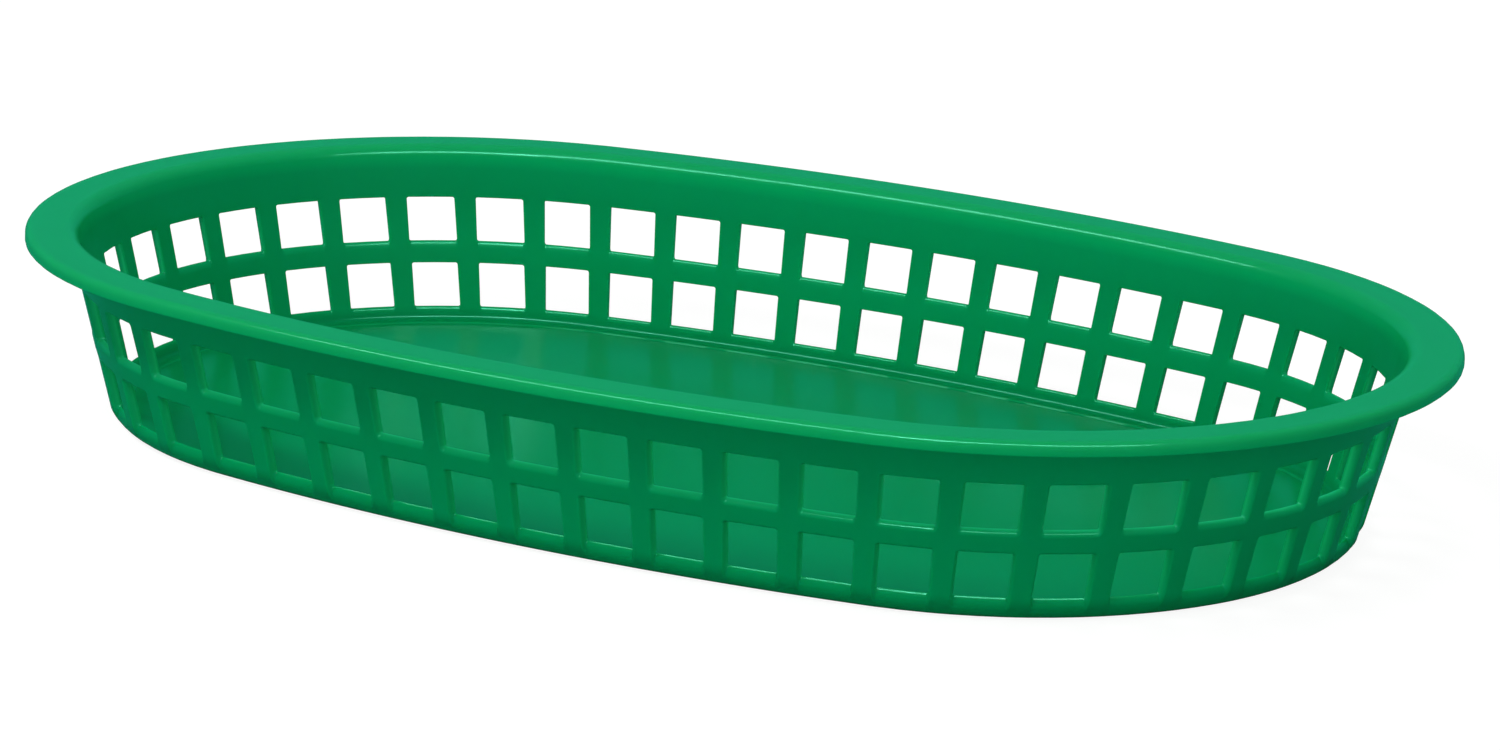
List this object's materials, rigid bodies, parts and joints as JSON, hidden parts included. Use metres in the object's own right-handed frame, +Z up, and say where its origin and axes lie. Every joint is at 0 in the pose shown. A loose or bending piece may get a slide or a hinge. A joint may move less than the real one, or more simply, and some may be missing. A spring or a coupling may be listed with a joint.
{
  "type": "oval food basket",
  "caption": "Shallow oval serving basket with a wide flat rim, leaning walls pierced by two rows of square windows, and a solid flat floor.",
  "frame": {"origin": "middle of the flat underside, on the surface the basket stands on", "axes": "+X along the basket's length, +Y across its width, +Z up out of its open top"},
  "size_m": [0.2666, 0.1668, 0.0341],
  "materials": {
    "green_plastic": "semi-gloss injection-moulded polypropylene, coloured through"
  },
  "bodies": {
    "root": {"basket": "green_plastic"}
  },
  "joints": []
}
